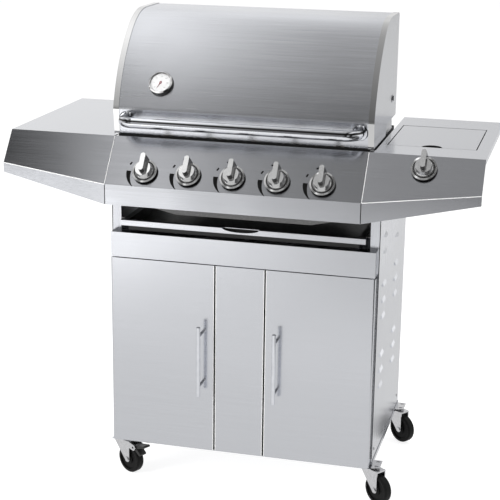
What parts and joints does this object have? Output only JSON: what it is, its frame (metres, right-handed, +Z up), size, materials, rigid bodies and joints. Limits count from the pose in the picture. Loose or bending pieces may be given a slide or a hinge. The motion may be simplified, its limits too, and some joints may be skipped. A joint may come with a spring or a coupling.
{
  "type": "gas barbecue grill",
  "caption": "Stainless gas barbecue grill on a cabinet cart with swivel castors: curved hinged hood, slanted control panel with knobs, doors, drip tray and side shelves, one with a side burner.",
  "frame": {"origin": "on the floor, under the middle of the overall width and depth", "axes": "+X to the right seen from the front, +Y to the back, +Z up"},
  "size_m": [1.152, 0.5722, 1.1799],
  "materials": {
    "stainless": "brushed stainless sheet",
    "end_steel": "stainless sheet with a polished rim",
    "polished_steel": "polished tube",
    "chrome": "bright chrome plate",
    "chrome_wire": "plated wire",
    "spindle_steel": "turned steel",
    "zinc_plate": "bright zinc plate",
    "castor_rubber": "black rubber tyre on a grey hub",
    "black_paint": "black enamel",
    "lens_glass": "clear",
    "needle_red": "red enamel",
    "firebox_steel": "heat resisting grey enamel",
    "burner_steel": "heat stained stainless",
    "grate_iron": "enamelled casting",
    "pipe_aluminium": "drawn tube",
    "valve_brass": "machined brass",
    "bowl_steel": "plain steel sheet",
    "burner_iron": "casting"
  },
  "bodies": {
    "cart": {"base_panel": "stainless", "left_side_panel": "stainless", "right_side_panel": "stainless", "back_panel": "stainless", "upper_front_panel": "stainless", "centre_panel": "stainless", "tray_runners": "bowl_steel", "firebox": "firebox_steel", "tube_burners": "burner_steel", "flame_tamers": "burner_steel", "left_cooking_grate": "grate_iron", "right_cooking_grate": "grate_iron", "warming_rack": "chrome_wire", "gas_manifold": "pipe_aluminium", "gas_valves": "valve_brass", "control_panel": "stainless", "left_shelf": "stainless", "right_shelf": "stainless", "side_burner_bowl": "bowl_steel", "side_burner": "burner_iron", "pan_support": "grate_iron", "hood_hinge_pins": "zinc_plate", "castor_heads": "zinc_plate"},
    "hood": {"hood_skin": "stainless", "hood_left_end": "end_steel", "hood_right_end": "end_steel", "hood_handle": "polished_steel", "gauge_case": "chrome", "gauge_lens": "lens_glass"},
    "gauge_needle": {"gauge_needle": "needle_red"},
    "side_burner_lid": {"side_burner_lid": "stainless"},
    "left_door": {"left_door": "stainless", "left_door_handle": "polished_steel"},
    "right_door": {"right_door": "stainless", "right_door_handle": "polished_steel"},
    "drip_tray": {"drip_tray": "black_paint", "drip_tray_lip": "stainless"},
    "burner_1_spindle": {"burner_1_spindle": "spindle_steel"},
    "burner_1_knob": {"burner_1_knob": "chrome"},
    "burner_2_spindle": {"burner_2_spindle": "spindle_steel"},
    "burner_2_knob": {"burner_2_knob": "chrome"},
    "burner_3_spindle": {"burner_3_spindle": "spindle_steel"},
    "burner_3_knob": {"burner_3_knob": "chrome"},
    "burner_4_spindle": {"burner_4_spindle": "spindle_steel"},
    "burner_4_knob": {"burner_4_knob": "chrome"},
    "burner_5_spindle": {"burner_5_spindle": "spindle_steel"},
    "burner_5_knob": {"burner_5_knob": "chrome"},
    "side_burner_spindle": {"side_burner_spindle": "spindle_steel"},
    "side_burner_knob": {"side_burner_knob": "chrome"},
    "front_left_fork": {"front_left_fork": "zinc_plate"},
    "front_left_wheel": {"front_left_wheel": "castor_rubber"},
    "front_left_brake": {"front_left_brake": "black_paint"},
    "front_right_fork": {"front_right_fork": "zinc_plate"},
    "front_right_wheel": {"front_right_wheel": "castor_rubber"},
    "back_left_fork": {"back_left_fork": "zinc_plate"},
    "back_left_wheel": {"back_left_wheel": "castor_rubber"},
    "back_left_brake": {"back_left_brake": "black_paint"},
    "back_right_fork": {"back_right_fork": "zinc_plate"},
    "back_right_wheel": {"back_right_wheel": "castor_rubber"}
  },
  "joints": [
    {"name": "hood_swing", "type": "hinge", "parent": "cart", "child": "hood", "pos_m": [0, 0.089, 0.975], "axis": [-1, 0, 0], "range_deg": [0, 85]},
    {"name": "side_lid_swing", "type": "hinge", "parent": "cart", "child": "side_burner_lid", "pos_m": [0.44025, 0.16, 0.888], "axis": [-1, 0, 0], "range_deg": [0, 95]},
    {"name": "left_door_swing", "type": "hinge", "parent": "cart", "child": "left_door", "pos_m": [-0.325, -0.157, 0.3395], "axis": [0, 0, -1], "range_deg": [0, 110]},
    {"name": "right_door_swing", "type": "hinge", "parent": "cart", "child": "right_door", "pos_m": [0.325, -0.157, 0.3395], "axis": [0, 0, 1], "range_deg": [0, 110]},
    {"name": "tray_slide", "type": "slide", "parent": "cart", "child": "drip_tray", "axis": [0, -1, 0], "range_m": [0, 0.3]},
    {"name": "needle_turn", "type": "hinge", "parent": "hood", "child": "gauge_needle", "pos_m": [-0.203, -0.15314, 1.01991], "axis": [0, 0.7837, -0.6211], "range_deg": [0, 270]},
    {"name": "burner_1_push", "type": "slide", "parent": "cart", "child": "burner_1_spindle", "axis": [0, 0.7869, -0.6171], "range_m": [0, 0.0035], "stiffness_N_per_m": 1200, "springref_m": -0.002},
    {"name": "burner_1_turn", "type": "hinge", "parent": "burner_1_spindle", "child": "burner_1_knob", "pos_m": [-0.214, -0.24216, 0.8224], "axis": [0, -0.7869, 0.6171], "range_deg": [0, 160]},
    {"name": "burner_2_push", "type": "slide", "parent": "cart", "child": "burner_2_spindle", "axis": [0, 0.7869, -0.6171], "range_m": [0, 0.0035], "stiffness_N_per_m": 1200, "springref_m": -0.002},
    {"name": "burner_2_turn", "type": "hinge", "parent": "burner_2_spindle", "child": "burner_2_knob", "pos_m": [-0.107, -0.24216, 0.8224], "axis": [0, -0.7869, 0.6171], "range_deg": [0, 160]},
    {"name": "burner_3_push", "type": "slide", "parent": "cart", "child": "burner_3_spindle", "axis": [0, 0.7869, -0.6171], "range_m": [0, 0.0035], "stiffness_N_per_m": 1200, "springref_m": -0.002},
    {"name": "burner_3_turn", "type": "hinge", "parent": "burner_3_spindle", "child": "burner_3_knob", "pos_m": [0, -0.24216, 0.8224], "axis": [0, -0.7869, 0.6171], "range_deg": [0, 160]},
    {"name": "burner_4_push", "type": "slide", "parent": "cart", "child": "burner_4_spindle", "axis": [0, 0.7869, -0.6171], "range_m": [0, 0.0035], "stiffness_N_per_m": 1200, "springref_m": -0.002},
    {"name": "burner_4_turn", "type": "hinge", "parent": "burner_4_spindle", "child": "burner_4_knob", "pos_m": [0.107, -0.24216, 0.8224], "axis": [0, -0.7869, 0.6171], "range_deg": [0, 160]},
    {"name": "burner_5_push", "type": "slide", "parent": "cart", "child": "burner_5_spindle", "axis": [0, 0.7869, -0.6171], "range_m": [0, 0.0035], "stiffness_N_per_m": 1200, "springref_m": -0.002},
    {"name": "burner_5_turn", "type": "hinge", "parent": "burner_5_spindle", "child": "burner_5_knob", "pos_m": [0.214, -0.24216, 0.8224], "axis": [0, -0.7869, 0.6171], "range_deg": [0, 160]},
    {"name": "side_burner_push", "type": "slide", "parent": "cart", "child": "side_burner_spindle", "axis": [0, 0.7869, -0.6171], "range_m": [0, 0.0035], "stiffness_N_per_m": 1200, "springref_m": -0.002},
    {"name": "side_burner_turn", "type": "hinge", "parent": "side_burner_spindle", "child": "side_burner_knob", "pos_m": [0.44, -0.2076, 0.86646], "axis": [0, -0.7869, 0.6171], "range_deg": [0, 160]},
    {"name": "front_left_swivel", "type": "hinge", "parent": "cart", "child": "front_left_fork", "pos_m": [-0.326, -0.126, 0.08575], "axis": [0, 0, 1], "continuous": true},
    {"name": "front_left_roll", "type": "hinge", "parent": "front_left_fork", "child": "front_left_wheel", "pos_m": [-0.29245, -0.14384, 0.0375], "axis": [0.4695, 0.8829, 0], "continuous": true},
    {"name": "front_left_brake_press", "type": "hinge", "parent": "front_left_fork", "child": "front_left_brake", "pos_m": [-0.27302, -0.15417, 0.076], "axis": [0.4695, 0.8829, 0], "range_deg": [0, 9]},
    {"name": "front_right_swivel", "type": "hinge", "parent": "cart", "child": "front_right_fork", "pos_m": [0.326, -0.126, 0.08575], "axis": [0, 0, 1], "continuous": true},
    {"name": "front_right_roll", "type": "hinge", "parent": "front_right_fork", "child": "front_right_wheel", "pos_m": [0.35674, -0.14834, 0.0375], "axis": [0.5878, 0.809, 0], "continuous": true},
    {"name": "back_left_swivel", "type": "hinge", "parent": "cart", "child": "back_left_fork", "pos_m": [-0.326, 0.268, 0.08575], "axis": [0, 0, 1], "continuous": true},
    {"name": "back_left_roll", "type": "hinge", "parent": "back_left_fork", "child": "back_left_wheel", "pos_m": [-0.29245, 0.25016, 0.0375], "axis": [0.4695, 0.8829, 0], "continuous": true},
    {"name": "back_left_brake_press", "type": "hinge", "parent": "back_left_fork", "child": "back_left_brake", "pos_m": [-0.27302, 0.23983, 0.076], "axis": [0.4695, 0.8829, 0], "range_deg": [0, 9]},
    {"name": "back_right_swivel", "type": "hinge", "parent": "cart", "child": "back_right_fork", "pos_m": [0.326, 0.268, 0.08575], "axis": [0, 0, 1], "continuous": true},
    {"name": "back_right_roll", "type": "hinge", "parent": "back_right_fork", "child": "back_right_wheel", "pos_m": [0.35674, 0.24566, 0.0375], "axis": [0.5878, 0.809, 0], "continuous": true}
  ]
}
